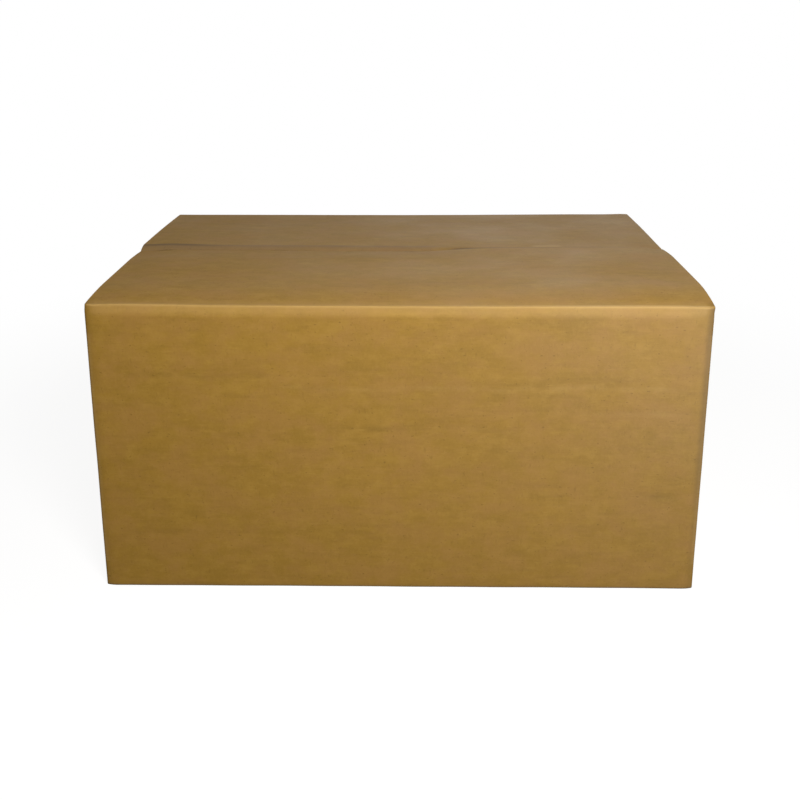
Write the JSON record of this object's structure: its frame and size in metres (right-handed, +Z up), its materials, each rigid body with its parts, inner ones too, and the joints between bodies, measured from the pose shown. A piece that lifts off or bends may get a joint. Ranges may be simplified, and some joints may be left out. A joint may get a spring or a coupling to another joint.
{
  "type": "closed cardboard box",
  "caption": "Closed corrugated shipping carton with rounded scored folds and bowed outer top flaps that swing open over fixed inner flaps.",
  "frame": {"origin": "on the floor, under the middle of the carton", "axes": "+X to the right along the long side, +Y to the back, +Z up"},
  "size_m": [0.6, 0.4, 0.307],
  "materials": {
    "kraft_board": "matte brown kraft paper",
    "kraft_board_top": "matte brown kraft paper"
  },
  "bodies": {
    "box": {"carton": "kraft_board"},
    "front_lid": {"front_flap": "kraft_board_top"},
    "rear_lid": {"rear_flap": "kraft_board_top"}
  },
  "joints": [
    {"name": "front_flap_fold", "type": "hinge", "parent": "box", "child": "front_lid", "pos_m": [0, -0.2, 0.3], "axis": [1, 0, 0], "range_deg": [0, 255]},
    {"name": "rear_flap_fold", "type": "hinge", "parent": "box", "child": "rear_lid", "pos_m": [0, 0.2, 0.3], "axis": [-1, 0, 0], "range_deg": [0, 255]}
  ]
}
